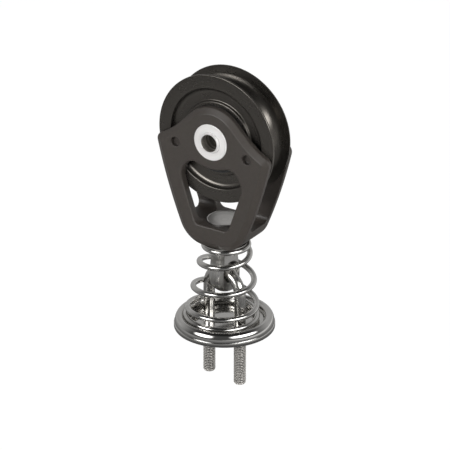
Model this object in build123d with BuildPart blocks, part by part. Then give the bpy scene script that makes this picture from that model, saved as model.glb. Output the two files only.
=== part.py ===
"""Stand-up block for ropes up to 10 mm: a single sheave in a swivelling yoke on a deck eye.

Millimetres. The origin is the middle of the dish's underside, where it meets the deck,
+Z is up and the sheave turns about a line along Y. Sizes are stacked from the deck upwards.
"""
import os
from math import cos, pi, radians, sin

from build123d import *

os.makedirs("parts", exist_ok=True)

# Running gaps and seats
seat_gap = 0.05             # between parts that rest on each other
near = 0.01                 # how close an edge lies to a level that it is picked by
fit_gap = 0.03              # radial, between a pin and the part it is fixed in
running_gap = 0.06          # radial, between a shaft and the bush it turns in
roller_gap = 0.1            # radial, between the rollers and each of their tracks
side_gap = 0.3              # between a rim of the sheave and the cheek beside it

# Dish that stands on the deck
dish_radius = 21.8
dish_skirt = 2.1            # height of the plain lower edge
dish_height = 5.9
dish_floor = 3.2
dish_crest_radius = 19.3    # where the rolled rim is highest
dish_wall_radius = 17.3     # inside of the rolled rim
dish_wall_flat = 0.6        # bevel between floor and rim

# U-bolt, the deck eye
rod_radius = 2.5
leg_spacing = 18.2
leg_below_deck = 24.7
thread_radius = 2.3         # mean of crest and root, for the plain stand-in on each leg
thread_start = 1.5          # below the deck
bow_height = 26.0           # middle of the rod at the top of the bow
eye_turn = -10.8            # degrees that the line through the legs is turned from +X
leg_end_chamfer = 0.6

# Eye post, a round bar with two flats and a belled hole that rides on the bow
post_neck_radius = 5.75
post_eye_radius = 6.5
post_rise = 14.05           # top of the post above the bow
post_thickness = 8.0        # across the two flats
flats_below_top = 1.4
post_taper_rise = 6.0       # from the middle of the eye to where the neck begins
eye_hole_radius = 3.5       # in the middle, from where the hole opens out to both sides
eye_bell_sweep = 60         # degrees of the hole's curve to either side
eye_bow_gap = 0.1           # under the rod, where the bow sits in the eye
eye_below_hole = 6.6        # metal under the hole

# Spring
wire_radius = 1.25
spring_top_radius = 9.4     # to the middle of the wire
spring_bottom_radius = 15.3
spring_swell = 1.15         # above 1, the cone bulges a little between its ends
closed_turns_bottom = 0.45
opening_turns = 1.7         # over which the pitch grows from the lower closed end
full_turns = 1.6
closing_turns = 0.9
closed_turns_top = 0.3
coil_steps = 60             # points along the spring's middle line
spring_start = 68.8         # degrees about +Z where the lower end of the wire lies

# Swivel
swivel_washer_radius = 10.0
swivel_washer_thickness = 0.4
bolt_radius = 4.0
bolt_thread_radius = 3.0
bolt_thread_length = 6.3
tapping_depth = 7.3         # of the hole in the post
bolt_head_radius = 7.5
bolt_head_thickness = 0.9
bolt_bowl_depth = 0.75
bolt_rim = 0.45
bush_wall = 1.4
head_washer_thickness = 0.55
head_recess_depth = 1.0
head_recess_gap = 0.3       # round the head

# Sheave
sheave_radius = 28.5
sheave_width = 13.7
rope_radius = 5.0
groove_depth = 8.0
groove_mouth = 11.2
rim_band_start = 1.786      # of the flat band on each face, outside the groove's floor
web_inset = 1.95            # depth of the recess beside the web
hub_wall = 4.0              # metal round the roller track
hub_inset = 0.85            # hub faces stand back from the rims
sheave_edge = 0.4           # rounding of the rims
web_corner_share = 0.88     # rounding at the foot of each recess, as a share of what limits it

# Bearing and axle
axle_radius = 4.7
axle_wall = 0.9
axle_stand_out = 1.2
race_wall = 4.65
roller_radius = 1.5
roller_spacing = 0.14
ring_overlap = 2.2          # of each thrust ring over the sheave's hub

# Yoke, one forged and machined U
cheek_thickness = 3.65
throat_height = 10.9        # from the sheave's rim to the floor of the yoke
base_thickness = 9.9
slot_corner = 3.0
bevel_depth = 1.7           # of the bevel round each cheek
bevel_width = 2.6
dome_radius = 15.1          # of the cheek above the axle
dome_sweep = 45             # degrees from the top of the dome to where each shoulder leaves it
ear_half_width = 27.7
ear_corner = 1.75           # width of the ear's rounded tip
ear_height = 3.8            # from the top of that tip to the yoke's widest point
shoulder_run = 8.13         # straight run between dome and shoulder
shoulder_slope = 0.728      # drop of the hollow shoulder for its width
base_corner_share = 0.578    # of the ears' half width, where the rounding of the base begins
base_corner_rise = 7.8
yoke_edge = 0.3             # rounding along both borders of the bevels
window_top_drop = 12.5
window_top_rise = 1.3       # of the upper edge, from its middle to where the corners begin
window_top_half_width = 7.0
window_half_width = 14.4    # where the upper corners end
window_corner_drop = 21.5
window_corner_reach = 5.0   # how far the corner's curve follows the upper edge
window_side_reach = 6.0     # and how far it follows the straight side
window_floor_half_width = 8.2
window_corner = 3.0
window_edge = 0.8           # rounding along the window's outer border
ear_recess_radius = 2.15
ear_recess_depth = 1.8
ear_recess_inset = 10.0     # from the yoke's widest point
ear_recess_rise = 2.0

# Collars that hold the axle in the cheeks
collar_radius = 8.06
collar_thickness = 1.1
collar_seat_depth = 0.8
collar_sleeve_wall = 1.3
small_edge = 0.25

# Heights, from the deck up
post_top = bow_height + post_rise
washer_bottom = post_top + seat_gap
yoke_bottom = washer_bottom + swivel_washer_thickness + seat_gap
yoke_floor = yoke_bottom + base_thickness
hub_height = yoke_floor + throat_height + sheave_radius
head_seat = yoke_floor - head_recess_depth
head_bottom = head_seat + 2 * seat_gap + head_washer_thickness
head_top = head_bottom + bolt_head_thickness
bow_centre = bow_height - leg_spacing / 2
eye_bell_radius = leg_spacing / 2 - rod_radius - eye_bow_gap
eye_hole_height = bow_height - rod_radius - eye_bow_gap + eye_hole_radius
eye_bottom = eye_hole_height - eye_hole_radius - eye_below_hole
spring_low = dish_floor + seat_gap + wire_radius
spring_high = post_top - wire_radius

# Widths and radii that follow
slot_half = sheave_width / 2 + side_gap
cheek_outside = slot_half + cheek_thickness
collar_seat = cheek_outside - collar_seat_depth
axle_half_length = collar_seat + collar_thickness + axle_stand_out
race_radius = axle_radius + race_wall
roller_pitch_radius = race_radius + roller_gap + roller_radius
track_radius = roller_pitch_radius + roller_radius + roller_gap
hub_radius = track_radius + hub_wall
hub_half = sheave_width / 2 - hub_inset
roller_half = hub_half - seat_gap
web_half = sheave_width / 2 - web_inset
groove_floor_radius = sheave_radius - groove_depth
band_radius = groove_floor_radius + rim_band_start
web_corner = web_corner_share * min(web_inset - hub_inset, (band_radius - hub_radius) / 2)
bush_radius = bolt_radius + running_gap + bush_wall
collar_sleeve_radius = axle_radius + fit_gap + collar_sleeve_wall

hub_axis = Axis((0, 0, hub_height), (0, 1, 0))
hub_level = Plane.XY.offset(hub_height)                 # x is the radius, y runs along the axle
hub_front = Plane(origin=(0, 0, hub_height), x_dir=(1, 0, 0), z_dir=(0, -1, 0))
spring_turns = closed_turns_bottom + opening_turns + full_turns + closing_turns + closed_turns_top
eye_line = (cos(radians(eye_turn)), sin(radians(eye_turn)), 0)
leg_places = [
    (side * leg_spacing / 2 * eye_line[0], side * leg_spacing / 2 * eye_line[1]) for side in (-1, 1)
]
bow_face = Plane(origin=(0, 0, 0), x_dir=eye_line, z_dir=(eye_line[1], -eye_line[0], 0))


def save(part, name):
    """Label a finished part and write it under the same name."""
    part.label = name
    export_step(part, f"parts/{name}.step")


# Base dish: a turned disc with a rolled rim, a recess for the spring and two holes for the legs
with BuildPart() as base_dish:
    with BuildSketch(Plane.XZ):
        with BuildLine():
            Polyline(
                (0, dish_floor), (0, 0), (dish_radius - small_edge, 0), (dish_radius, small_edge),
                (dish_radius, dish_skirt),
            )
            TangentArc((dish_radius, dish_skirt), (dish_crest_radius, dish_height), tangent=(-0.1, 1))
            Spline(
                (dish_crest_radius, dish_height), (dish_wall_radius, dish_floor + dish_wall_flat),
                tangents=((-1, 0), (0, -1)),
            )
            Polyline(
                (dish_wall_radius, dish_floor + dish_wall_flat),
                (dish_wall_radius - dish_wall_flat, dish_floor), (0, dish_floor),
            )
        make_face()
    revolve(axis=Axis.Z)
    with BuildSketch():
        with Locations(*leg_places):
            Circle(rod_radius + fit_gap)
    extrude(amount=dish_floor, mode=Mode.SUBTRACT)
save(base_dish.part, "base_dish")

# U-bolt: a half-round bow and two straight legs bent from one rod, a little thinner where threaded
with BuildPart() as u_bolt:
    with BuildLine(bow_face):
        Line((leg_spacing / 2, -thread_start), (leg_spacing / 2, bow_centre))
        RadiusArc((leg_spacing / 2, bow_centre), (-leg_spacing / 2, bow_centre), -leg_spacing / 2)
        Line((-leg_spacing / 2, bow_centre), (-leg_spacing / 2, -thread_start))
    with BuildSketch(Plane.XY.offset(-thread_start)):
        with Locations(leg_places[1]):
            Circle(rod_radius)
    sweep()
    with BuildSketch(Plane.XY.offset(-leg_below_deck)):
        with Locations(*leg_places):
            Circle(thread_radius)
    extrude(amount=leg_below_deck - thread_start)
    chamfer(u_bolt.faces().group_by(Axis.Z)[0].edges(), leg_end_chamfer)
save(u_bolt.part, "u_bolt")

# Eye post: round bar, rounded below, with two flats, a belled eye and a threaded hole on top
with BuildPart() as eye_post:
    with BuildSketch(Plane.XZ):
        with BuildLine():
            Polyline(
                (0, eye_bottom), (0, post_top), (post_neck_radius - small_edge, post_top),
                (post_neck_radius, post_top - small_edge),
                (post_neck_radius, eye_hole_height + post_taper_rise),
                (post_eye_radius, eye_hole_height), (post_eye_radius, eye_bottom + post_eye_radius),
            )
            RadiusArc((post_eye_radius, eye_bottom + post_eye_radius), (0, eye_bottom), post_eye_radius)
        make_face()
    revolve(axis=Axis.Z)
    with BuildSketch(Plane.XY.offset(eye_bottom - 1)):
        Circle(2 * post_eye_radius)
        Rectangle(post_thickness, 4 * post_eye_radius, rotation=eye_turn, mode=Mode.SUBTRACT)
    extrude(amount=post_top - flats_below_top - eye_bottom + 1, mode=Mode.SUBTRACT)
    with BuildSketch(bow_face):
        with BuildLine():
            bell = CenterArc(
                (0, eye_hole_height + eye_hole_radius + eye_bell_radius), eye_bell_radius,
                270 - eye_bell_sweep, 2 * eye_bell_sweep,
            )
            Polyline(bell @ 1, ((bell @ 1).X, eye_hole_height), ((bell @ 0).X, eye_hole_height), bell @ 0)
        make_face()
    revolve(axis=Axis((0, 0, eye_hole_height), eye_line), mode=Mode.SUBTRACT)
    with Locations((0, 0, post_top)):
        Hole(bolt_thread_radius + fit_gap, depth=tapping_depth)
save(eye_post.part, "eye_post")


def spring_point(turns):
    """Middle of the wire after a number of turns from its lower end."""
    rise = 0
    ramps = ((closed_turns_bottom, opening_turns, 0, 1), (closed_turns_bottom + opening_turns,
             full_turns, 1, 1), (closed_turns_bottom + opening_turns + full_turns, closing_turns, 1, 0))
    for start, length, low, high in ramps:
        inside = min(max(turns - start, 0), length)
        rise += low * inside + (high - low) * inside ** 2 / (2 * length)
    total_rise = opening_turns / 2 + full_turns + closing_turns / 2
    share = rise / total_rise
    radius = spring_bottom_radius + (spring_top_radius - spring_bottom_radius) * share ** spring_swell
    angle = radians(spring_start) + 2 * pi * turns
    height = spring_low + (spring_high - spring_low) * share
    return (radius * cos(angle), radius * sin(angle), height)


# Stand-up spring: a conical coil with closed ends that keeps the block upright
with BuildPart() as stand_up_spring:
    with BuildLine():
        coil = Spline(*[spring_point(step * spring_turns / coil_steps) for step in range(coil_steps + 1)])
    with BuildSketch(Plane(origin=coil @ 0, z_dir=coil % 0)):
        Circle(wire_radius)
    sweep(binormal=Edge.make_line((0, 0, 0), (0, 0, 1)))
save(stand_up_spring.part, "stand_up_spring")

# Washer between the spring and the yoke
with BuildPart() as lower_thrust_washer:
    with BuildSketch(Plane.XY.offset(washer_bottom)):
        Circle(swivel_washer_radius)
        Circle(bolt_radius + running_gap, mode=Mode.SUBTRACT)
    extrude(amount=swivel_washer_thickness)
save(lower_thrust_washer.part, "lower_thrust_washer")

# Swivel bolt: dished head, plain shank in the bush and a thread in the post
with BuildPart() as swivel_bolt:
    with BuildSketch(Plane.XZ):
        with BuildLine():
            Polyline(
                (0, head_top - bolt_bowl_depth), (0, post_top - bolt_thread_length),
                (bolt_thread_radius, post_top - bolt_thread_length), (bolt_thread_radius, post_top),
                (bolt_radius, post_top), (bolt_radius, head_bottom),
                (bolt_head_radius - small_edge, head_bottom), (bolt_head_radius, head_bottom + small_edge),
                (bolt_head_radius, head_top - small_edge), (bolt_head_radius - bolt_rim / 2, head_top),
                (bolt_head_radius - bolt_rim, head_top - small_edge),
            )
            TangentArc(
                (0, head_top - bolt_bowl_depth), (bolt_head_radius - bolt_rim, head_top - small_edge),
                tangent=(1, 0),
            )
        make_face()
    revolve(axis=Axis.Z)
save(swivel_bolt.part, "swivel_bolt")

# Bush pressed into the base of the yoke
with BuildPart() as swivel_bush:
    with BuildSketch(Plane.XY.offset(yoke_bottom)):
        Circle(bush_radius)
        Circle(bolt_radius + running_gap, mode=Mode.SUBTRACT)
    extrude(amount=head_seat - yoke_bottom)
save(swivel_bush.part, "swivel_bush")

# Washer under the bolt's head
with BuildPart() as upper_thrust_washer:
    with BuildSketch(Plane.XY.offset(head_seat + seat_gap)):
        Circle(bolt_head_radius)
        Circle(bolt_radius + running_gap, mode=Mode.SUBTRACT)
    extrude(amount=head_washer_thickness)
save(upper_thrust_washer.part, "upper_thrust_washer")

# Sheave: flanged wheel with a round groove, recessed webs and a raised hub
with BuildPart() as sheave:
    with BuildSketch(hub_level) as sheave_half:
        with BuildLine():
            Polyline(
                (track_radius, 0), (track_radius, hub_half), (hub_radius, hub_half), (hub_radius, web_half),
                (band_radius, web_half), (band_radius, sheave_width / 2),
                (sheave_radius, sheave_width / 2), (sheave_radius, groove_mouth / 2),
            )
            groove_side = (groove_floor_radius + rope_radius, rope_radius)
            Line((sheave_radius, groove_mouth / 2), groove_side)
            RadiusArc(groove_side, (groove_floor_radius, 0), -rope_radius)
            Line((groove_floor_radius, 0), (track_radius, 0))
        make_face()
        mirror(about=Plane.XZ)
        corners = sheave_half.vertices()
        fillet(corners.filter_by(lambda corner: abs(abs(corner.Y) - web_half) < near), web_corner)
        fillet(corners.filter_by(lambda corner: corner.X > sheave_radius - near), sheave_edge)
    revolve(axis=hub_axis)
save(sheave.part, "sheave")

# Bearing: a race on the axle, and a full ring of rollers between it and the sheave
with BuildPart() as inner_race:
    with BuildSketch(hub_front):
        Circle(race_radius)
        Circle(axle_radius + fit_gap, mode=Mode.SUBTRACT)
    extrude(amount=slot_half - seat_gap, both=True)
save(inner_race.part, "inner_race")

roller_count = int(2 * pi * roller_pitch_radius / (2 * roller_radius + roller_spacing))
with BuildPart() as bearing_rollers:
    with BuildSketch(hub_front):
        with PolarLocations(roller_pitch_radius, roller_count):
            Circle(roller_radius)
    extrude(amount=roller_half, both=True)
save(bearing_rollers.part, "bearing_rollers")

# Hollow axle
with BuildPart() as axle_tube:
    with BuildSketch(hub_front):
        Circle(axle_radius)
        Circle(axle_radius - axle_wall, mode=Mode.SUBTRACT)
    extrude(amount=axle_half_length, both=True)
    chamfer(axle_tube.faces().filter_by(Axis.Y).edges(), small_edge)
save(axle_tube.part, "axle_tube")

# Yoke: outline of the cheeks and base, seen along the axle, with its right half drawn
with BuildPart() as yoke:
    with BuildSketch(hub_front):
        with BuildLine():
            base_drop = hub_height - yoke_bottom
            dome = CenterArc((0, 0), dome_radius, 90, -dome_sweep)
            straight = Line(dome @ 1, dome @ 1 + shoulder_run * (dome % 1))
            tip_start = ear_half_width - ear_corner
            tip_height = (straight @ 1).Y - shoulder_slope * (tip_start - (straight @ 1).X)
            shoulder = TangentArc(straight @ 1, (tip_start, tip_height), tangent=straight % 1)
            ear = TangentArc(
                shoulder @ 1, (ear_half_width, tip_height - ear_height), tangent=shoulder % 1
            )
            corner_top = (base_corner_share * ear_half_width, base_corner_rise - base_drop)
            side = TangentArc(ear @ 1, corner_top, tangent=ear % 1)
            side_run = base_corner_rise / abs((side % 1).Y)
            flat_half_width = corner_top[0] + side_run * (side % 1).X - side_run
            TangentArc(corner_top, (flat_half_width, -base_drop), tangent=side % 1)
            Polyline((flat_half_width, -base_drop), (0, -base_drop), (0, dome_radius))
        make_face()
        mirror(about=Plane.YZ)
    extrude(amount=cheek_outside, both=True)
    for outer_face in (yoke.faces().sort_by(Axis.Y)[0], yoke.faces().sort_by(Axis.Y)[-1]):
        chamfer(outer_face.outer_wire().edges(), bevel_width, bevel_depth, reference=outer_face)
    for border in (cheek_outside, cheek_outside - bevel_depth):
        fillet(yoke.edges().filter_by(lambda edge: abs(abs(edge.center().Y) - border) < near), yoke_edge)

    # Slot for the sheave, open at the top and both sides
    with BuildSketch(Plane.YZ):
        with Locations((0, yoke_floor)):
            slot = Rectangle(2 * slot_half, 2 * hub_height, align=(Align.CENTER, Align.MIN))
        fillet(slot.vertices().group_by(Axis.Y)[0], slot_corner)
    extrude(amount=2 * ear_half_width, both=True, mode=Mode.SUBTRACT)

    # Window through both cheeks, right half drawn
    with BuildSketch(hub_front) as window:
        with BuildLine():
            floor_drop = hub_height - yoke_floor
            top_end = (window_top_half_width, window_top_rise - window_top_drop)
            top_edge = TangentArc((0, -window_top_drop), top_end, tangent=(1, 0))
            side_edge = Line(
                (window_half_width, -window_corner_drop), (window_floor_half_width, -floor_drop)
            )
            Bezier(
                top_end, top_edge @ 1 + window_corner_reach * (top_edge % 1),
                side_edge @ 0 - window_side_reach * (side_edge % 0), side_edge @ 0,
            )
            Polyline(side_edge @ 1, (0, -floor_drop), (0, -window_top_drop))
        make_face()
        mirror(about=Plane.YZ)
        fillet(window.vertices().group_by(Axis.Y)[0], window_corner)
    extrude(amount=2 * cheek_outside, both=True, mode=Mode.SUBTRACT)
    for outer_face in (yoke.faces().sort_by(Axis.Y)[0], yoke.faces().sort_by(Axis.Y)[-1]):
        fillet(outer_face.inner_wires()[0].edges(), window_edge)

    # Bores and seats of the collars, blind recesses at the ears, and the swivel's bore and recess
    for side in (-1, 1):
        cheek = Plane(origin=(0, side * cheek_outside, hub_height), x_dir=(1, 0, 0), z_dir=(0, side, 0))
        with Locations(cheek):
            CounterBoreHole(
                collar_sleeve_radius + fit_gap, collar_radius + fit_gap, collar_seat_depth,
                depth=cheek_thickness,
            )
            recess_x = ear_half_width - ear_recess_inset
            recess_y = -side * (tip_height - ear_height + ear_recess_rise)
            with Locations((-recess_x, recess_y), (recess_x, recess_y)):
                Hole(ear_recess_radius, depth=ear_recess_depth)
    with Locations((0, 0, yoke_floor)):
        CounterBoreHole(bush_radius + fit_gap, bolt_head_radius + head_recess_gap, head_recess_depth)
save(yoke.part, "yoke")

# Collars and thrust rings, one of each at either cheek
for side, name in ((-1, "front"), (1, "back")):
    collar_face = Plane(origin=(0, side * slot_half, hub_height), x_dir=(1, 0, 0), z_dir=(0, side, 0))
    with BuildPart() as collar:
        with BuildSketch(collar_face):
            Circle(collar_sleeve_radius)
            Circle(axle_radius + fit_gap, mode=Mode.SUBTRACT)
        extrude(amount=collar_seat - slot_half)
        with BuildSketch(collar_face.offset(collar_seat - slot_half)):
            Circle(collar_radius)
            Circle(axle_radius + fit_gap, mode=Mode.SUBTRACT)
        extrude(amount=collar_thickness)
        outer_rim = collar.faces().sort_by(Axis.Y)[0 if side < 0 else -1].outer_wire().edges()
        fillet(outer_rim, small_edge)
    save(collar.part, f"{name}_collar")

    with BuildPart() as thrust_ring:
        with BuildSketch(collar_face.offset(-seat_gap)):
            Circle(track_radius + ring_overlap)
            Circle(race_radius + fit_gap, mode=Mode.SUBTRACT)
        extrude(amount=-(slot_half - hub_half - 2 * seat_gap))
    save(thrust_ring.part, f"{name}_thrust_ring")
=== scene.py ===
"""Visual model of a stand-up sailing block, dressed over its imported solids.

The block is a grooved sheave in a forked yoke, on a post that rides on the bow of a deck eye and
is held upright by a conical spring. Sizes in the classes are millimetres, and meshes are metres.
"""
import logging
import math
from collections.abc import Sequence
from dataclasses import dataclass
from enum import Enum

import bmesh
import bpy
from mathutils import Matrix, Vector


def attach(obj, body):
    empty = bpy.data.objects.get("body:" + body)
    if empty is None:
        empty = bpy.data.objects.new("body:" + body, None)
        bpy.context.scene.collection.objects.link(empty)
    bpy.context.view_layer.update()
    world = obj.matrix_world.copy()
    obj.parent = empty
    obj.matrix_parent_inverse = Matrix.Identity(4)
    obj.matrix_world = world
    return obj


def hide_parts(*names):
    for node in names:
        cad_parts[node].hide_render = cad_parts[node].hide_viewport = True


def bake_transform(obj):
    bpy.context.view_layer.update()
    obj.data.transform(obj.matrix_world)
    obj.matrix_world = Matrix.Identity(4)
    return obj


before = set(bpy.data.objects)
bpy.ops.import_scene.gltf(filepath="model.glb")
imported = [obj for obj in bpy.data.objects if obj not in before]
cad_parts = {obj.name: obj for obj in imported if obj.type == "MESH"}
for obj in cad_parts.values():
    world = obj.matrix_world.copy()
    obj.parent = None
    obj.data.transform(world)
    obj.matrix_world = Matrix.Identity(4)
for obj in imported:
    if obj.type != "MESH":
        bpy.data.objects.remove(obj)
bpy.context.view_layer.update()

log = logging.getLogger("sailing_block")
MM = 0.001

Point = tuple[float, float]
Colour = tuple[float, float, float]


class Body(Enum):
    """Moving bodies that the pieces ride on."""

    DECK_EYE = "deck_eye"
    POST = "post"
    FORK = "fork"
    ROLLERS = "rollers"
    WHEEL = "wheel"


class TurnAxis(Enum):
    """Lines about which the turned pieces are made."""

    SWIVEL = "swivel"
    AXLE = "axle"


@dataclass(frozen=True)
class Layout:
    """Heights and angles of the whole block that several pieces share."""

    deck_clear: float = 24.7
    dish_floor: float = 3.2
    post_top: float = 40.05
    hub_height: float = 89.85
    eye_turn: float = math.radians(-10.8)
    view_azimuth: float = math.radians(32.82)


LAYOUT = Layout()


# Shader node groups


class Sheet:
    """Thin wrapper that adds and links nodes in one node tree."""

    def __init__(self, tree: bpy.types.NodeTree) -> None:
        """Keep the tree and start the column counter.

        Args:
            tree: node tree of a material, a world or a group.
        """
        self.tree = tree
        self.column = 0

    def add(self, kind: str, **settings: object) -> bpy.types.Node:
        """Add one node and set its plain attributes.

        Args:
            kind: node type without the leading "ShaderNode".
            settings: attributes of the node.

        Returns:
            The new node.
        """
        node = self.tree.nodes.new("ShaderNode" + kind)
        for key, value in settings.items():
            setattr(node, key, value)
        node.location = (self.column * 190.0, -(self.column % 3) * 160.0)
        self.column += 1
        return node

    def link(self, source: bpy.types.NodeSocket, target: bpy.types.NodeSocket) -> None:
        """Join an output to an input."""
        self.tree.links.new(source, target)

    def math(self, operation: str, *values: object, clamp: bool = False) -> bpy.types.NodeSocket:
        """Add a Math node.

        Args:
            operation: the node's operation.
            values: a number or an output socket for each input.
            clamp: whether the result is held between 0 and 1.

        Returns:
            The node's output.
        """
        node = self.add("Math", operation=operation, use_clamp=clamp)
        for socket, value in zip(node.inputs, values):
            self.feed(socket, value)
        return node.outputs[0]

    def feed(self, socket: bpy.types.NodeSocket, value: object) -> None:
        """Set an input to a number, or link it to an output."""
        if isinstance(value, bpy.types.NodeSocket):
            self.link(value, socket)
        else:
            socket.default_value = value

    def noise(self, vector: bpy.types.NodeSocket, scale: object, detail: float = 3.0,
              roughness: float = 0.5) -> bpy.types.NodeSocket:
        """Add a noise texture and return its value."""
        node = self.add("TexNoise")
        self.link(vector, node.inputs["Vector"])
        self.feed(node.inputs["Scale"], scale)
        node.inputs["Detail"].default_value = detail
        node.inputs["Roughness"].default_value = roughness
        return node.outputs[0]

    def spread(self, value: object, low: float, high: float, to_low: object = 0.0,
               to_high: object = 1.0) -> bpy.types.NodeSocket:
        """Map a range of a value to another range, clamped."""
        node = self.add("MapRange")
        for index, entry in enumerate((value, low, high, to_low, to_high)):
            self.feed(node.inputs[index], entry)
        return node.outputs[0]


def new_group(
    name: str, inputs: Sequence[tuple[str, str, object]], outputs: Sequence[tuple[str, str]],
) -> tuple[bpy.types.NodeTree, Sheet, bpy.types.Node, bpy.types.Node]:
    """Make an empty shader group with named sockets.

    Args:
        name: the group's name.
        inputs: name, socket type and default of each input.
        outputs: name and socket type of each output.

    Returns:
        The tree, its sheet, the input node and the output node.
    """
    tree = bpy.data.node_groups.new(name, "ShaderNodeTree")
    for label, kind, default in inputs:
        socket = tree.interface.new_socket(name=label, in_out="INPUT", socket_type=kind)
        socket.default_value = default
    for label, kind in outputs:
        tree.interface.new_socket(name=label, in_out="OUTPUT", socket_type=kind)
    sheet = Sheet(tree)
    start = tree.nodes.new("NodeGroupInput")
    end = tree.nodes.new("NodeGroupOutput")
    end.location = (1600.0, 0.0)
    return tree, sheet, start, end


class EffectGroups:
    """Effects that several finishes share, each built once."""

    def __init__(self) -> None:
        """Build the groups."""
        self.turning = self.build_turning()
        self.grain = self.build_grain()
        self.handling = self.build_handling()

    @staticmethod
    def build_turning() -> bpy.types.NodeTree:
        """Fine rings left by a lathe about an axis.

        Returns:
            A group that puts out a height and a tone.
        """
        tree, sheet, start, end = new_group(
            "turning_rings",
            [
                ("Centre Height", "NodeSocketFloat", 0.0),
                ("About Axle", "NodeSocketFloat", 0.0),
                ("Rings per mm", "NodeSocketFloat", 4.0),
            ],
            [
                ("Height", "NodeSocketFloat"), ("Tone", "NodeSocketFloat"),
                ("Radius mm", "NodeSocketFloat"),
            ],
        )
        place = sheet.add("TexCoord").outputs["Object"]
        parts = sheet.add("SeparateXYZ")
        sheet.link(place, parts.inputs[0])
        across = parts.outputs["X"]
        depth = parts.outputs["Y"]
        height = sheet.math("SUBTRACT", parts.outputs["Z"], start.outputs["Centre Height"])
        second = sheet.add("Mix", data_type="FLOAT")
        sheet.link(start.outputs["About Axle"], second.inputs["Factor"])
        sheet.link(depth, second.inputs["A"])
        sheet.link(height, second.inputs["B"])
        along = sheet.add("Mix", data_type="FLOAT")
        sheet.link(start.outputs["About Axle"], along.inputs["Factor"])
        sheet.link(height, along.inputs["A"])
        sheet.link(depth, along.inputs["B"])
        radius = sheet.math(
            "SQRT",
            sheet.math(
                "ADD", sheet.math("POWER", across, 2.0), sheet.math("POWER", second.outputs[0], 2.0)
            ),
        )
        profile = sheet.add("CombineXYZ")
        sheet.link(radius, profile.inputs["X"])
        sheet.link(along.outputs[0], profile.inputs["Y"])
        scale = sheet.math("MULTIPLY", start.outputs["Rings per mm"], 1000.0)
        fine = sheet.noise(profile.outputs[0], scale, detail=2.0, roughness=0.6)
        coarse = sheet.noise(profile.outputs[0], sheet.math("MULTIPLY", scale, 0.17), detail=2.0)
        height_out = sheet.math("ADD", fine, sheet.math("MULTIPLY", coarse, 0.6))
        sheet.link(height_out, end.inputs["Height"])
        sheet.link(sheet.spread(coarse, 0.3, 0.7), end.inputs["Tone"])
        sheet.link(sheet.math("MULTIPLY", radius, 1000.0), end.inputs["Radius mm"])
        return tree

    @staticmethod
    def build_grain() -> bpy.types.NodeTree:
        """Fine even grain, drawn out along one direction if asked.

        Returns:
            A group that puts out a height and a tone.
        """
        tree, sheet, start, end = new_group(
            "surface_grain",
            [
                ("Grains per mm", "NodeSocketFloat", 6.0),
                ("Stretch", "NodeSocketVector", (1.0, 1.0, 1.0)),
            ],
            [("Height", "NodeSocketFloat"), ("Tone", "NodeSocketFloat")],
        )
        place = sheet.add("TexCoord").outputs["Object"]
        drawn = sheet.add("VectorMath", operation="MULTIPLY")
        sheet.link(place, drawn.inputs[0])
        sheet.link(start.outputs["Stretch"], drawn.inputs[1])
        scale = sheet.math("MULTIPLY", start.outputs["Grains per mm"], 1000.0)
        fine = sheet.noise(drawn.outputs[0], scale, detail=4.0, roughness=0.65)
        coarse = sheet.noise(drawn.outputs[0], sheet.math("MULTIPLY", scale, 0.12), detail=2.0)
        sheet.link(fine, end.inputs["Height"])
        sheet.link(sheet.spread(coarse, 0.3, 0.7), end.inputs["Tone"])
        return tree

    @staticmethod
    def build_handling() -> bpy.types.NodeTree:
        """Soft smudges and a few hair scratches from handling.

        Returns:
            A group that puts out a smudge mask and a scratch mask.
        """
        tree, sheet, start, end = new_group(
            "handling_marks",
            [("Smudge Size mm", "NodeSocketFloat", 9.0), ("Scratches", "NodeSocketFloat", 0.5)],
            [("Smudges", "NodeSocketFloat"), ("Scratches", "NodeSocketFloat")],
        )
        place = sheet.add("TexCoord").outputs["Object"]
        scale = sheet.math("DIVIDE", 1000.0, start.outputs["Smudge Size mm"])
        cloud = sheet.noise(place, scale, detail=5.0, roughness=0.6)
        sheet.link(sheet.spread(cloud, 0.38, 0.66), end.inputs["Smudges"])
        drawn = sheet.add("Mapping")
        sheet.link(place, drawn.inputs["Vector"])
        drawn.inputs["Rotation"].default_value = (0.5, 0.9, 0.3)
        drawn.inputs["Scale"].default_value = (1400.0, 60.0, 900.0)
        hair = sheet.noise(drawn.outputs[0], 1.0, detail=1.0)
        lines = sheet.spread(hair, 0.72, 0.76)
        scratched = sheet.math("MULTIPLY", lines, start.outputs["Scratches"])
        sheet.link(scratched, end.inputs["Scratches"])
        return tree


def place_group(sheet: Sheet, tree: bpy.types.NodeTree, **values: object) -> bpy.types.Node:
    """Put a group in a material with its own values.

    Args:
        sheet: the material's sheet.
        tree: the group.
        values: input values; underscores in a name stand for spaces.

    Returns:
        The group's node.
    """
    node = sheet.add("Group")
    node.node_tree = tree
    for key, value in values.items():
        node.inputs[key.replace("_", " ")].default_value = value
    return node


# Finishes


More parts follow.
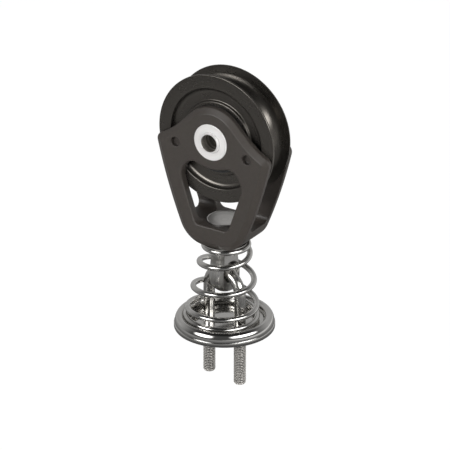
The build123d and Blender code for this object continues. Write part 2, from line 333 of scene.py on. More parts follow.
@dataclass(frozen=True)
class Finish:
    """One metal or plastic finish, made into a material."""

    name: str
    colour: Colour
    shade: Colour
    metallic: float
    roughness: float
    roughness_swing: float
    bump: float
    bump_distance: float = 0.02
    turned: TurnAxis | None = None
    rings_per_mm: float = 4.0
    grains_per_mm: float = 6.0
    stretch: Colour = (1.0, 1.0, 1.0)
    smudges: float = 0.04
    scratches: float = 0.4
    # Painted shade inside a bore: the bore's radius and the darker colour painted within it.
    bore_radius: float = 0.0
    bore_shade_colour: Colour = (0.3, 0.28, 0.25)
    soft_edge: float = 0.0
    specular: float = 0.5

    def build(self, groups: EffectGroups) -> bpy.types.Material:
        """Make the material.

        Args:
            groups: the shared effects.

        Returns:
            A material with a Principled shader fed by the effects.
        """
        material = bpy.data.materials.new(self.name)
        material.use_nodes = True
        tree = material.node_tree
        tree.nodes.clear()
        sheet = Sheet(tree)
        if self.turned is None:
            marks = place_group(
                sheet, groups.grain, Grains_per_mm=self.grains_per_mm, Stretch=self.stretch
            )
        else:
            about_axle = self.turned is TurnAxis.AXLE
            marks = place_group(
                sheet, groups.turning,
                Centre_Height=LAYOUT.hub_height * MM if about_axle else 0.0,
                About_Axle=1.0 if about_axle else 0.0,
                Rings_per_mm=self.rings_per_mm,
            )
        handling = place_group(sheet, groups.handling, Scratches=self.scratches)

        colour = sheet.add("Mix", data_type="RGBA")
        colour.inputs["A"].default_value = (*self.colour, 1.0)
        colour.inputs["B"].default_value = (*self.shade, 1.0)
        sheet.link(marks.outputs["Tone"], colour.inputs["Factor"])

        tint = colour.outputs[2]
        # Painted shade: the inside of the bore gets a darker colour.
        if self.bore_radius:
            tint = self.paint_bore_shade(sheet, tint, marks.outputs["Radius mm"])
        rough = sheet.spread(
            marks.outputs["Tone"], 0.0, 1.0,
            self.roughness - self.roughness_swing, self.roughness + self.roughness_swing,
        )
        smudged = sheet.math(
            "ADD", rough, sheet.math("MULTIPLY", handling.outputs["Smudges"], self.smudges)
        )
        bump = sheet.add("Bump")
        bump.inputs["Strength"].default_value = self.bump
        bump.inputs["Distance"].default_value = self.bump_distance * MM
        relief = sheet.math(
            "SUBTRACT", marks.outputs["Height"],
            sheet.math("MULTIPLY", handling.outputs["Scratches"], 0.5),
        )
        sheet.link(relief, bump.inputs["Height"])
        if self.soft_edge:
            eased = sheet.add("Bevel", samples=6)
            eased.inputs["Radius"].default_value = self.soft_edge * MM
            sheet.link(eased.outputs[0], bump.inputs["Normal"])

        shader = sheet.add("BsdfPrincipled")
        sheet.link(tint, shader.inputs["Base Color"])
        sheet.link(smudged, shader.inputs["Roughness"])
        sheet.link(bump.outputs[0], shader.inputs["Normal"])
        shader.inputs["Metallic"].default_value = self.metallic
        shader.inputs["Specular IOR Level"].default_value = self.specular
        out = sheet.add("OutputMaterial")
        sheet.link(shader.outputs[0], out.inputs["Surface"])
        return material

    def paint_bore_shade(self, sheet: Sheet, tint: bpy.types.NodeSocket,
                    radius: bpy.types.NodeSocket) -> bpy.types.NodeSocket:
        """Paint shade inside a bore: a darker colour within the bore's radius.

        Args:
            sheet: the material's sheet.
            tint: colour of the outside.
            radius: distance from the turning axis in millimetres.

        Returns:
            The colour inside and outside.
        """
        inside = sheet.math("LESS_THAN", radius, self.bore_radius)
        mix = sheet.add("Mix", data_type="RGBA")
        sheet.link(inside, mix.inputs["Factor"])
        sheet.link(tint, mix.inputs["A"])
        mix.inputs["B"].default_value = (*self.bore_shade_colour, 1.0)
        return mix.outputs[2]


@dataclass(frozen=True)
class FinishSet:
    """All finishes of the block."""

    polished: bpy.types.Material
    wire: bpy.types.Material
    rod: bpy.types.Material
    root: bpy.types.Material
    crest_highlight: bpy.types.Material
    brushed: bpy.types.Material
    head: bpy.types.Material
    collar: bpy.types.Material
    axle: bpy.types.Material
    yoke: bpy.types.Material
    sheave: bpy.types.Material
    acetal: bpy.types.Material


def build_finishes() -> FinishSet:
    """Make every finish of the block.

    Returns:
        The finishes by name.
    """
    groups = EffectGroups()
    steel = (0.66, 0.65, 0.63)
    steel_shade = (0.57, 0.56, 0.54)
    return FinishSet(
        polished=Finish(
            "polished_stainless", steel, steel_shade, 1.0, 0.08, 0.02, 0.03,
            turned=TurnAxis.SWIVEL, rings_per_mm=5.0, scratches=0.2,
        ).build(groups),
        wire=Finish(
            "drawn_spring_wire", steel, steel_shade, 1.0, 0.12, 0.03, 0.04,
            grains_per_mm=3.0,
        ).build(groups),
        rod=Finish(
            "rolled_stainless_rod", (0.62, 0.61, 0.59), (0.5, 0.49, 0.47), 1.0, 0.2, 0.05, 0.08,
            grains_per_mm=4.0, stretch=(1.0, 1.0, 0.2),
        ).build(groups),
        # Painted shade in the thread roots: a dark, dull colour.
        root=Finish(
            "thread_root_painted_shade", (0.1, 0.095, 0.09), (0.13, 0.125, 0.12), 0.4, 0.5, 0.05, 0.08,
            grains_per_mm=6.0,
        ).build(groups),
        # Painted highlight on the thread crests: a brighter colour.
        crest_highlight=Finish(
            "thread_crest_painted_highlight", (0.84, 0.81, 0.77), (0.74, 0.72, 0.68), 0.6, 0.25, 0.05, 0.08,
            grains_per_mm=6.0,
        ).build(groups),
        brushed=Finish(
            "brushed_stainless", (0.62, 0.61, 0.59), (0.52, 0.51, 0.49), 1.0, 0.3, 0.06, 0.18,
            grains_per_mm=9.0, stretch=(1.0, 1.0, 0.05),
        ).build(groups),
        head=Finish(
            "turned_bolt_head", (0.62, 0.61, 0.59), (0.52, 0.51, 0.49), 1.0, 0.32, 0.05, 0.2,
            turned=TurnAxis.SWIVEL, rings_per_mm=6.0,
        ).build(groups),
        collar=Finish(
            "turned_collar", (0.93, 0.915, 0.9), (0.86, 0.845, 0.83), 0.3, 0.36, 0.06, 0.2,
            turned=TurnAxis.AXLE, rings_per_mm=7.0,
        ).build(groups),
        # The axle tube's bore gets painted shade.
        axle=Finish(
            "turned_axle", (0.93, 0.915, 0.9), (0.86, 0.845, 0.83), 0.4, 0.25, 0.05, 0.2,
            turned=TurnAxis.AXLE, rings_per_mm=7.0, bore_radius=3.85,
        ).build(groups),
        yoke=Finish(
            "satin_brown_black_anodising", (0.047, 0.040, 0.0345), (0.054, 0.046, 0.040), 0.0, 0.4,
            0.04, 0.1, grains_per_mm=8.0, smudges=0.05, scratches=0.2, specular=0.45, soft_edge=0.6,
        ).build(groups),
        sheave=Finish(
            "smooth_black_anodising", (0.105, 0.096, 0.086), (0.112, 0.104, 0.093), 0.85, 0.27,
            0.01, 0.008, turned=TurnAxis.AXLE, rings_per_mm=4.0, smudges=0.02, scratches=0.0,
        ).build(groups),
        acetal=Finish(
            "black_acetal", (0.012, 0.012, 0.012), (0.016, 0.016, 0.016), 0.0, 0.5,
            0.05, 0.1, grains_per_mm=5.0,
        ).build(groups),
    )


# Mesh tools


def skin(name: str, rings: Sequence[Sequence[Vector]], closed: bool = False) -> bpy.types.Object:
    """Join rings of points into one smooth-shaded skin.

    Args:
        name: name of the new object.
        rings: rings with the same number of points, in order along the piece, in metres.
        closed: whether the last ring joins the first instead of both having end caps.

    Returns:
        The new object, at the origin.
    """
    mesh = bpy.data.meshes.new(name)
    shape = bmesh.new()
    rows = [[shape.verts.new(point) for point in ring] for ring in rings]
    around = len(rows[0])
    pairs = list(zip(rows, rows[1:]))
    if closed:
        pairs.append((rows[-1], rows[0]))
    for lower, upper in pairs:
        for index in range(around):
            after = (index + 1) % around
            shape.faces.new((lower[index], lower[after], upper[after], upper[index]))
    if not closed:
        for row in (rows[0], rows[-1]):
            middle = shape.verts.new(sum((vert.co for vert in row), Vector()) / around)
            for index in range(around):
                shape.faces.new((row[index], row[(index + 1) % around], middle))
    bmesh.ops.recalc_face_normals(shape, faces=shape.faces)
    for face in shape.faces:
        face.smooth = True
    shape.to_mesh(mesh)
    shape.free()
    mesh.set_sharp_from_angle(angle=math.radians(32.0))
    piece = bpy.data.objects.new(name, mesh)
    bpy.context.collection.objects.link(piece)
    return piece


def turned(name: str, profile: Sequence[Point], axis: TurnAxis, segments: int = 192,
           closed: bool = False) -> bpy.types.Object:
    """Turn a profile about the swivel's axis or the axle's.

    Args:
        name: name of the new object.
        profile: radius and place along the axis of each point in millimetres.
        axis: line to turn about.
        segments: points round the axis.
        closed: whether the profile closes on itself, as a ring's does.

    Returns:
        The turned piece.
    """
    rings = []
    for radius, along in profile:
        ring = []
        for step in range(segments):
            across = radius * math.cos(math.tau * step / segments)
            second = radius * math.sin(math.tau * step / segments)
            if axis is TurnAxis.AXLE:
                ring.append(Vector((across, along, LAYOUT.hub_height + second)) * MM)
            else:
                ring.append(Vector((across, second, along)) * MM)
        rings.append(ring)
    return skin(name, rings, closed)


def bend(centre: Point, radius: float, start: float, end: float, steps: int = 8) -> list[Point]:
    """List points along an arc of a profile.

    Args:
        centre: of the arc.
        radius: of the arc.
        start: first angle in degrees, from the direction of growing radius.
        end: last angle in degrees.
        steps: stretches between the points.

    Returns:
        The points from the first angle to the last.
    """
    turns = [math.radians(start + (end - start) * step / steps) for step in range(steps + 1)]
    return [
        (centre[0] + radius * math.cos(turn), centre[1] + radius * math.sin(turn))
        for turn in turns
    ]


def bored(piece: bpy.types.Object, places: Sequence[Point], radius: float, height: float) -> None:
    """Bore upright holes through a piece.

    Args:
        piece: the piece to bore; its mesh is replaced.
        places: middle of each hole in millimetres.
        radius: of the holes.
        height: of the cutters, from well below to well above the piece.
    """
    drills = []
    for index, (x, y) in enumerate(places):
        rings = [
            [
                Vector((
                    x + radius * math.cos(math.tau * step / 48),
                    y + radius * math.sin(math.tau * step / 48),
                    level,
                )) * MM
                for step in range(48)
            ]
            for level in (-height, height)
        ]
        drill = skin(f"drill_{index}", rings)
        drills.append(drill)
        cut = piece.modifiers.new(f"hole_{index}", "BOOLEAN")
        cut.operation = "DIFFERENCE"
        cut.solver = "EXACT"
        cut.object = drill
    bpy.context.view_layer.update()
    whole = piece.evaluated_get(bpy.context.evaluated_depsgraph_get())
    mesh = bpy.data.meshes.new_from_object(whole)
    mesh.name = piece.name
    piece.modifiers.clear()
    piece.data = mesh
    mesh.set_sharp_from_angle(angle=math.radians(32.0))
    for drill in drills:
        bpy.data.objects.remove(drill)


def ease(value: float, low: float, high: float) -> float:
    """Rise smoothly from 0 at low to 1 at high."""
    share = min(max((value - low) / (high - low), 0.0), 1.0)
    return share * share * (3.0 - 2.0 * share)


def dress_node(node: str, material: bpy.types.Material) -> None:
    """Give a carried-over CAD node its finish.

    Args:
        node: name of the node.
        material: its finish.
    """
    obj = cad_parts[node]
    if not obj.material_slots:
        obj.data.materials.append(material)
    for entry in obj.material_slots:
        entry.link = "OBJECT"
        entry.material = material
    log.info("dressed %s", node)


# Sub-assemblies


@dataclass
class DeckEye:
    """The dish that stands on the deck and the threaded U-bolt through it."""

    finishes: FinishSet
    dish_radius: float = 21.8
    skirt_height: float = 2.0
    ledge: float = 0.32
    roll_foot: float = 2.25
    crest_radius: float = 19.3
    crest_height: float = 5.9
    wall_radius: float = 17.3
    wall_foot: float = 3.8
    floor_bevel: float = 0.6
    lower_edge: float = 0.3
    hole_radius: float = 2.56
    rod_radius: float = 2.5
    leg_spacing: float = 18.2
    bow_height: float = 26.0
    thread_major: float = 2.68
    thread_depth: float = 0.5
    pitch: float = 0.8
    thread_start: float = -1.5
    thread_run_out: float = 0.8
    crest_share: float = 0.14
    flank_share: float = 0.68
    rings_per_thread: int = 12
    threaded_rings: int = 354
    tip_chamfer: float = 0.6

    def build(self) -> None:
        """Build and place both pieces."""
        dish = self.build_dish()
        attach(dish, Body.DECK_EYE.value)
        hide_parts("base_dish")
        bolt = self.build_bolt()
        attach(bolt, Body.DECK_EYE.value)
        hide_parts("u_bolt")
        log.info("built the dish and the U-bolt")

    @property
    def along(self) -> Vector:
        """Direction of the line through the legs."""
        return Vector((math.cos(LAYOUT.eye_turn), math.sin(LAYOUT.eye_turn), 0.0))

    def dish_profile(self) -> list[Point]:
        """Work out the dish's section.

        Returns:
            Points from the middle of the underside, round the rim, to the middle of the floor.
        """
        edge = self.lower_edge
        radius = self.dish_radius
        profile = [(0.6, 0.0), (radius - 2.0, 0.0), (radius - edge, 0.0)]
        top = self.skirt_height
        profile += [(radius - 0.3 * edge, 0.3 * edge), (radius, edge), (radius, top - 0.15)]
        profile += [(radius - 0.06, top - 0.03), (radius - 0.15, top)]
        foot_radius = radius - self.ledge
        profile += [(foot_radius + 0.05, top + 0.02), (foot_radius, top + 0.1)]
        for step in range(19):
            turn = math.radians(5.0 * step)
            profile.append((
                self.crest_radius + (foot_radius - self.crest_radius) * math.cos(turn),
                self.roll_foot + (self.crest_height - self.roll_foot) * math.sin(turn),
            ))
        for step in range(1, 13):
            turn = math.radians(7.5 * step)
            profile.append((
                self.crest_radius - (self.crest_radius - self.wall_radius) * math.sin(turn),
                self.wall_foot + (self.crest_height - self.wall_foot) * math.cos(turn),
            ))
        profile.append((self.wall_radius - self.floor_bevel, LAYOUT.dish_floor))
        profile += [(self.wall_radius - 1.5, LAYOUT.dish_floor), (0.6, LAYOUT.dish_floor)]
        return profile

    def build_dish(self) -> bpy.types.Object:
        """Turn the dish and bore it for the legs.

        Returns:
            The dish.
        """
        dish = turned("turned_dish", self.dish_profile(), TurnAxis.SWIVEL)
        half = self.leg_spacing / 2.0
        places = [(side * half * self.along.x, side * half * self.along.y) for side in (-1, 1)]
        bored(dish, places, self.hole_radius, 2.0 * self.crest_height)
        dish.data.materials.clear()
        dish.data.materials.append(self.finishes.polished)
        return dish

    def rod_radius_at(self, height: float, turn: float) -> float:
        """Radius of a leg with its thread.

        Args:
            height: above the deck, in millimetres.
            turn: angle round the leg's own line, anticlockwise from above.

        Returns:
            The radius in millimetres.
        """
        threaded = 1.0 - ease(height, self.thread_start - self.thread_run_out, self.thread_start)
        phase = (height / self.pitch - turn / math.tau) % 1.0
        ramp = 1.0 - abs(2.0 * phase - 1.0)
        flank = min(max((ramp - self.crest_share) / self.flank_share, 0.0), 1.0)
        radius = self.rod_radius + threaded * (
            self.thread_major - self.rod_radius - self.thread_depth * (1.0 - flank)
        )
        tip = -LAYOUT.deck_clear
        return min(radius, self.thread_major - self.tip_chamfer + max(height - tip, 0.0))

    def build_bolt(self) -> bpy.types.Object:
        """Sweep the rod up one leg, over the bow and down the other, with its threads.

        Returns:
            The U-bolt.
        """
        around = 40
        half = self.leg_spacing / 2.0
        bow_middle = self.bow_height - half
        normal = Vector((0.0, 0.0, 1.0)).cross(self.along)
        threads = [
            -LAYOUT.deck_clear + self.pitch / self.rings_per_thread * step
            for step in range(self.threaded_rings)
        ]
        plain = [-0.8, 0.0, 3.0, 8.0, 13.0]
        up = Vector((0.0, 0.0, 1.0))
        stations = [(half * self.along + z * up, up) for z in threads + plain]
        for step in range(49):
            turn = math.pi * step / 48
            place = half * (math.cos(turn) * self.along + math.sin(turn) * up)
            heading = -math.sin(turn) * self.along + math.cos(turn) * up
            stations.append((place + bow_middle * up, heading))
        for z in reversed(threads + plain):
            stations.append((-half * self.along + z * up, -up))
        rings = []
        for place, heading in stations:
            side = normal.cross(heading)
            ring = []
            for step in range(around):
                turn = math.tau * step / around
                hand = turn if heading.z > 0 else -turn + math.pi
                outwards = math.cos(turn) * side + math.sin(turn) * normal
                ring.append((place + self.rod_radius_at(place.z, hand) * outwards) * MM)
            rings.append(ring)
        bolt = skin("threaded_u_bolt", rings)
        bolt.data.materials.append(self.finishes.rod)
        # Painted shade for the thread roots, painted highlight for the crests.
        bolt.data.materials.append(self.finishes.root)
        bolt.data.materials.append(self.finishes.crest_highlight)
        self.paint_thread_shade_and_highlight(bolt.data)
        return bolt

    def paint_thread_shade_and_highlight(self, mesh: bpy.types.Mesh) -> None:
        """Paint shade into the thread's roots with a dark material and a highlight onto its crests
        with a bright one.

        Args:
            mesh: the U-bolt's mesh, with the roots' painted shade material second and the crests'
                painted highlight material third.
        """
        half = self.leg_spacing / 2.0
        for face in mesh.polygons:
            place = face.center / MM
            if place.z > self.thread_start - self.thread_run_out:
                continue
            leg = self.along * math.copysign(half, place.dot(self.along))
            reach = math.hypot(place.x - leg.x, place.y - leg.y)
            root = reach < self.thread_major - 0.55 * self.thread_depth
            # Root faces get the painted shade material, the other threaded faces the painted
            # highlight one.
            face.material_index = 1 if root and place.z > -LAYOUT.deck_clear + 0.7 else 2


@dataclass
class StandUpSpring:
    """Conical coil that keeps the block upright and leans a little, as it was photographed."""

    finishes: FinishSet
    wire_radius: float = 1.25
    top_radius: float = 9.4
    bottom_radius: float = 15.3
    swell: float = 1.15
    closed_below: float = 0.45
    opening: float = 1.7
    full: float = 1.6
    closing: float = 0.9
    closed_above: float = 0.3
    start_turn: float = math.radians(68.8)
    seat: float = 0.05
    tilt: float = 0.105
    foot_lift: float = 0.5
    foot_shift: float = -1.3
    crown_shift: float = 0.75

    def build(self) -> None:
        """Build the leaning coil between deck eye and post."""
        spring = self.build_coil()
        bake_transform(spring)
        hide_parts("stand_up_spring")
        log.info("built the spring")

    @property
    def turns(self) -> float:
        """Turns from end to end."""
        return self.closed_below + self.opening + self.full + self.closing + self.closed_above

    def rise_share(self, turns: float) -> float:
        """Share of the spring's rise that is reached after some turns.

        Args:
            turns: from the lower end.

        Returns:
            0 at the lower closed end, 1 at the upper one.
        """
        opened = min(max(turns - self.closed_below, 0.0), self.opening)
        even = min(max(turns - self.closed_below - self.opening, 0.0), self.full)
        closed = min(max(turns - self.closed_below - self.opening - self.full, 0.0), self.closing)
        lower = opened ** 2 / (2.0 * self.opening)
        upper = closed - closed ** 2 / (2.0 * self.closing)
        return (lower + even + upper) / (self.opening / 2.0 + self.full + self.closing / 2.0)

    def point(self, turns: float) -> Vector:
        """Middle of the wire after some turns, in millimetres."""
        share = self.rise_share(turns)
        radius = self.bottom_radius + (self.top_radius - self.bottom_radius) * share ** self.swell
        angle = self.start_turn + math.tau * turns
        low = LAYOUT.dish_floor + self.seat + self.wire_radius
        high = LAYOUT.post_top - self.wire_radius
        right = Vector((math.cos(LAYOUT.view_azimuth), math.sin(LAYOUT.view_azimuth), 0.0))
        height = low + (high - low) * share
        place = Vector((radius * math.cos(angle), radius * math.sin(angle), height))
        foot = 1.0 - ease(share, 0.0, 0.2)
        tilt = self.tilt * (1.0 - 0.6 * foot) * (1.0 - ease(share, 0.72, 1.0))
        place.z = max(place.z + self.foot_lift * foot - tilt * place.dot(right), low)
        return place + right * (self.foot_shift * (1.0 - share) ** 3 + self.crown_shift * share)

    def build_coil(self) -> bpy.types.Object:
        """Sweep the wire along the coil, with rounded ends.

        Returns:
            The spring.
        """
        around = 20
        steps = 380
        up = Vector((0, 0, 1))
        rings = []
        caps = [(math.radians(angle), -1) for angle in (80, 60, 40, 20)]
        caps_after = [(math.radians(angle), 1) for angle in (20, 40, 60, 80)]
        stations = [(0.0, angle, way) for angle, way in caps]
        stations += [(self.turns * step / steps, 0.0, 0) for step in range(steps + 1)]
        stations += [(self.turns, angle, way) for angle, way in caps_after]
        for turns, angle, way in stations:
            ahead = self.point(min(turns + 0.004, self.turns)) - self.point(max(turns - 0.004, 0.0))
            heading = ahead.normalized()
            side = heading.cross(up).normalized()
            over = side.cross(heading)
            radius = self.wire_radius * math.cos(angle)
            middle = self.point(turns) + heading * (way * 0.5 * self.wire_radius * math.sin(angle))
            turns_round = [math.tau * step / around for step in range(around)]
            rings.append([
                (middle + radius * (math.cos(turn) * side + math.sin(turn) * over)) * MM
                for turn in turns_round
            ])
        spring = skin("conical_spring", rings)
        spring.data.materials.append(self.finishes.wire)
        return spring


@dataclass
class SwivelPost:
    """The eye post and what turns on its bolt."""

    finishes: FinishSet

    def build(self) -> None:
        """Dress the post, its bolt, bush and washers."""
        dress_node("eye_post", self.finishes.brushed)
        dress_node("swivel_bolt", self.finishes.head)
        dress_node("swivel_bush", self.finishes.acetal)
        dress_node("lower_thrust_washer", self.finishes.polished)
        dress_node("upper_thrust_washer", self.finishes.acetal)


@dataclass
class Fork:
    """The yoke with its axle, collars and thrust rings."""

    finishes: FinishSet

    def build(self) -> None:
        """Dress the yoke and what is fixed in it."""
        dress_node("yoke", self.finishes.yoke)
        dress_node("axle_tube", self.finishes.axle)
        for side in ("front", "back"):
            dress_node(f"{side}_collar", self.finishes.collar)
            dress_node(f"{side}_thrust_ring", self.finishes.acetal)
        dress_node("inner_race", self.finishes.acetal)


@dataclass
class Wheel:
    """The grooved sheave and the rollers inside it."""

    finishes: FinishSet
    rim_radius: float = 28.5
    rim_half: float = 6.85
    rim_edge: float = 0.4
    groove_radius: float = 6.1
    groove_floor: float = 20.5
    band_radius: float = 22.3
    band_edge: float = 0.5
    web_half: float = 4.9
    web_foot: float = 2.6
    hub_radius: float = 16.55
    hub_half: float = 6.0
    hub_edge: float = 0.5
    hub_foot: float = 0.55
    track_radius: float = 12.55
    track_edge: float = 0.2
    recess_slope: float = 35.0

    def build(self) -> None:
        """Turn the sheave and dress its rollers."""
        sheave = self.build_sheave()
        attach(sheave, Body.WHEEL.value)
        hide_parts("sheave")
        dress_node("bearing_rollers", self.finishes.acetal)
        log.info("built the sheave")

    def half_profile(self) -> list[Point]:
        """Work out the section from the roller track to the middle of the groove, on one side.

        Returns:
            Points with the distance from the sheave's middle plane as second number.
        """
        edge = self.track_edge
        track = self.track_radius
        profile = [(track, self.hub_half - edge), (track + edge, self.hub_half)]
        edge = self.hub_edge
        profile += bend((self.hub_radius - edge, self.hub_half - edge), edge, 90.0, 0.0, 6)
        foot = self.hub_foot
        profile += bend((self.hub_radius + foot, self.web_half + foot), foot, 180.0, 270.0, 6)
        foot = self.web_foot
        wall = self.band_radius - foot * math.cos(math.radians(self.recess_slope))
        profile += bend((wall, self.web_half + foot), foot, 270.0, 360.0 - self.recess_slope, 10)
        edge = self.band_edge
        profile += bend((self.band_radius + edge + 0.1, self.rim_half - edge), edge, 170.0, 90.0, 6)
        edge = self.rim_edge
        profile += bend((self.rim_radius - edge, self.rim_half - edge), edge, 90.0, 0.0, 6)
        middle = self.groove_floor + self.groove_radius
        mouth = math.degrees(math.acos((middle - self.rim_radius + 0.25) / self.groove_radius))
        profile += [(self.rim_radius, self.groove_radius * math.sin(math.radians(mouth)) + 0.2)]
        profile += bend((middle, 0.0), self.groove_radius, mouth, 180.0, 20)
        return profile

    def build_sheave(self) -> bpy.types.Object:
        """Turn the sheave's whole section about the axle.

        Returns:
            The sheave.
        """
        half = self.half_profile()
        other = [(radius, -along) for radius, along in reversed(half[:-1])]
        sheave = turned("turned_sheave", half + other, TurnAxis.AXLE, 288, closed=True)
        sheave.data.materials.append(self.finishes.sheave)
        return sheave


# Studio


@dataclass(frozen=True)
class SoftBox:
    """A soft box that faces the block, brightest in its middle, placed by where it is seen."""

    name: str
    azimuth: float
    elevation: float
    width: float
    height: float
    radiance: float
    distance: float

    def hang(self) -> None:
        """Make the lamp."""
        lamp = bpy.data.lights.new(self.name, "AREA")
        lamp.shape = "RECTANGLE"
        lamp.size = self.width
        lamp.size_y = self.height
        lamp.energy = 4.0 * self.width * self.height * self.radiance
        self.soften(lamp)
        box = bpy.data.objects.new(self.name, lamp)
        turn = math.radians(self.azimuth)
        rise = math.radians(self.elevation)
        away = Vector((
            math.sin(turn) * math.cos(rise), -math.cos(turn) * math.cos(rise), math.sin(rise)
        ))
        box.location = away * self.distance
        box.rotation_euler = away.to_track_quat("Z", "Y").to_euler()
        box.visible_camera = False
        bpy.context.collection.objects.link(box)

    @staticmethod
    def soften(lamp: bpy.types.Light) -> None:
        """Let the lamp shine less towards its edges.

        Args:
            lamp: the lamp, given its own nodes.
        """
        lamp.use_nodes = True
        lamp.node_tree.nodes.clear()
        sheet = Sheet(lamp.node_tree)
        parts = sheet.add("SeparateXYZ")
        sheet.link(sheet.add("NewGeometry").outputs["Parametric"], parts.inputs[0])
        falls = []
        for axis in ("X", "Y"):
            place = sheet.math("MULTIPLY_ADD", parts.outputs[axis], 2.0, -1.0)
            falls.append(sheet.math("SUBTRACT", 1.0, sheet.math("MULTIPLY", place, place)))
        fall = sheet.math("POWER", sheet.math("MULTIPLY", *falls, clamp=True), 2.0)
        light = sheet.add("Emission")
        sheet.link(fall, light.inputs["Strength"])
        out = sheet.add("OutputLight")
        sheet.link(light.outputs[0], out.inputs["Surface"])


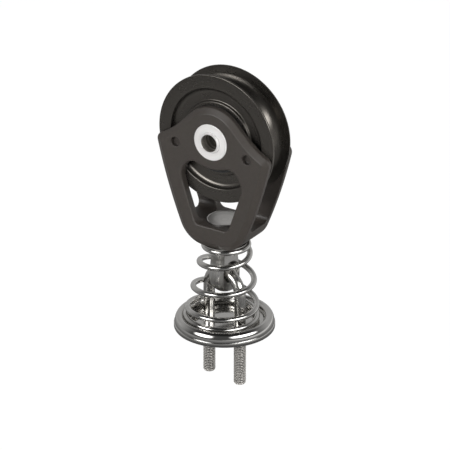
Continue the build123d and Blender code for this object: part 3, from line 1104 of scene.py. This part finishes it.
@dataclass
class Studio:
    """Camera, soft boxes, floor and surroundings."""

    azimuth: float = LAYOUT.view_azimuth
    elevation: float = math.radians(25.2)
    distance: float = 1.5
    aim_height: float = 0.04755
    aim_right: float = 0.0002
    focal_pixels: float = 3533.0
    picture_pixels: float = 450.0
    sensor_width: float = 36.0
    floor_half: float = 1.4
    floor_gap: float = 0.2
    floor_white: float = 1.08
    floor_shadowless: float = 0.9
    boxes: tuple[SoftBox, ...] = (
        SoftBox("front_left_box", -17.0, 21.0, 1.0, 0.68, 9.5, 1.1),
        SoftBox("right_box", 79.0, 24.0, 1.7, 0.64, 8.5, 1.2),
    )

    def build(self) -> None:
        """Make everything round the object."""
        self.build_camera()
        self.build_floor()
        self.build_world()
        for box in self.boxes:
            box.hang()

    def build_camera(self) -> None:
        """Stand the camera where the photograph was taken from."""
        back = Vector((
            math.sin(self.azimuth) * math.cos(self.elevation),
            -math.cos(self.azimuth) * math.cos(self.elevation),
            math.sin(self.elevation),
        ))
        right = Vector((math.cos(self.azimuth), math.sin(self.azimuth), 0.0))
        aim = Vector((0.0, 0.0, self.aim_height)) + right * self.aim_right
        data = bpy.data.cameras.new("photo_camera")
        data.sensor_width = self.sensor_width
        data.lens = self.focal_pixels / self.picture_pixels * self.sensor_width
        data.clip_start = 0.05
        data.clip_end = 40.0
        camera = bpy.data.objects.new("photo_camera", data)
        camera.location = aim + back * self.distance
        camera.rotation_euler = (-back).to_track_quat("-Z", "Y").to_euler()
        bpy.context.collection.objects.link(camera)
        bpy.context.scene.camera = camera

    def build_floor(self) -> None:
        """Lay a pale floor that stays white in view and takes the object's shadow."""
        mesh = bpy.data.meshes.new("floor")
        half = self.floor_half
        height = -(LAYOUT.deck_clear + self.floor_gap) * MM
        corners = ((-half, -half), (half, -half), (half, half), (-half, half))
        mesh.from_pydata([(*corner, height) for corner in corners], [], [(0, 1, 2, 3)])
        floor = bpy.data.objects.new("floor", mesh)
        bpy.context.collection.objects.link(floor)
        material = bpy.data.materials.new("white_floor")
        material.use_nodes = True
        material.node_tree.nodes.clear()
        sheet = Sheet(material.node_tree)
        seen = sheet.add("LightPath")
        diffuse = sheet.add("BsdfDiffuse")
        diffuse.inputs["Color"].default_value = (0.85, 0.85, 0.85, 1.0)
        white = sheet.add("Emission")
        white.inputs["Color"].default_value = (1.0, 1.0, 1.0, 1.0)
        white.inputs["Strength"].default_value = self.floor_white
        shown = sheet.add("MixShader")
        shadowless = sheet.math("MULTIPLY", seen.outputs["Is Camera Ray"], self.floor_shadowless)
        sheet.link(shadowless, shown.inputs[0])
        sheet.link(diffuse.outputs[0], shown.inputs[1])
        sheet.link(white.outputs[0], shown.inputs[2])
        # Glossy and transmission rays see the floor's painted light and shade, not its lit colour.
        painted_reflection = sheet.add("Emission")
        sheet.link(self.painted_floor_reflection(sheet), painted_reflection.inputs["Color"])
        mix = sheet.add("MixShader")
        through = seen.outputs["Is Transmission Ray"]
        sheet.link(sheet.math("MAXIMUM", seen.outputs["Is Glossy Ray"], through), mix.inputs[0])
        sheet.link(shown.outputs[0], mix.inputs[1])
        sheet.link(painted_reflection.outputs[0], mix.inputs[2])
        out = sheet.add("OutputMaterial")
        sheet.link(mix.outputs[0], out.inputs["Surface"])
        mesh.materials.append(material)

    def towards_camera(self, sheet: Sheet, place: bpy.types.NodeSocket) -> bpy.types.NodeSocket:
        """Measure how far a place lies towards the camera's side."""
        towards = sheet.add("VectorMath", operation="DOT_PRODUCT")
        sheet.link(place, towards.inputs[0])
        towards.inputs[1].default_value = (math.sin(self.azimuth), -math.cos(self.azimuth), 0.0)
        return towards.outputs["Value"]

    def painted_floor_reflection(self, sheet: Sheet) -> bpy.types.NodeSocket:
        """Paint the floor as the metal shows it: a painted shadow of the block, grey near it, and
        painted paler floor behind it and to the right.

        Args:
            sheet: sheet of the floor's material.

        Returns:
            The floor's painted brightness.
        """
        place = sheet.add("TexCoord").outputs["Object"]
        distance = sheet.add("VectorMath", operation="LENGTH")
        sheet.link(place, distance.inputs[0])
        away = distance.outputs["Value"]
        # Painted shadow of the block: darkest within 7 cm of it, lighter by 13 cm.
        painted_block_shadow = sheet.spread(away, 0.07, 0.13, 0.08, 0.3)
        front = sheet.math("MULTIPLY", painted_block_shadow, sheet.spread(away, 0.24, 0.5, 1.0, 0.2))
        behind = sheet.spread(away, 0.06, 0.2, 0.3, 0.45)
        shade = sheet.add("Mix", data_type="FLOAT")
        camera_side = sheet.spread(self.towards_camera(sheet, place), -0.3, 0.1)
        sheet.link(camera_side, shade.inputs["Factor"])
        sheet.link(behind, shade.inputs["A"])
        sheet.link(front, shade.inputs["B"])
        # Painted paler patch of floor to the right of the block.
        right = sheet.add("VectorMath", operation="DOT_PRODUCT")
        sheet.link(place, right.inputs[0])
        right.inputs[1].default_value = (0.95, 0.3, 0.0)
        return sheet.math(
            "ADD", shade.outputs[0], sheet.spread(right.outputs["Value"], 0.12, 0.17, 0.0, 0.5)
        )

    def build_world(self) -> None:
        """Light the room softly, dim towards the camera's side and pale behind the block."""
        world = bpy.data.worlds.new("soft_room")
        world.use_nodes = True
        world.node_tree.nodes.clear()
        sheet = Sheet(world.node_tree)
        place = sheet.add("TexCoord").outputs["Generated"]
        parts = sheet.add("SeparateXYZ")
        sheet.link(place, parts.inputs[0])
        camera_side = sheet.spread(self.towards_camera(sheet, place), -0.5, 0.2, 0.45, 0.08)
        ceiling = sheet.spread(parts.outputs["Z"], 0.55, 0.85, 1.0, 0.2)
        room = sheet.add("Background")
        sheet.link(sheet.math("MULTIPLY", camera_side, ceiling), room.inputs["Color"])
        white = sheet.add("Background")
        white.inputs["Color"].default_value = (1.0, 1.0, 1.0, 1.0)
        seen = sheet.add("LightPath")
        mix = sheet.add("MixShader")
        sheet.link(seen.outputs["Is Camera Ray"], mix.inputs[0])
        sheet.link(room.outputs[0], mix.inputs[1])
        sheet.link(white.outputs[0], mix.inputs[2])
        out = sheet.add("OutputWorld")
        sheet.link(mix.outputs[0], out.inputs["Surface"])
        bpy.context.scene.world = world


def main() -> None:
    """Build the whole scene in order."""
    logging.basicConfig(level=logging.INFO, format="%(name)s: %(message)s")
    bpy.context.scene.view_settings.view_transform = "Standard"
    Studio().build()
    finishes = build_finishes()
    for part in (DeckEye, StandUpSpring, SwivelPost, Fork, Wheel):
        part(finishes).build()


if __name__ == "__main__":
    main()
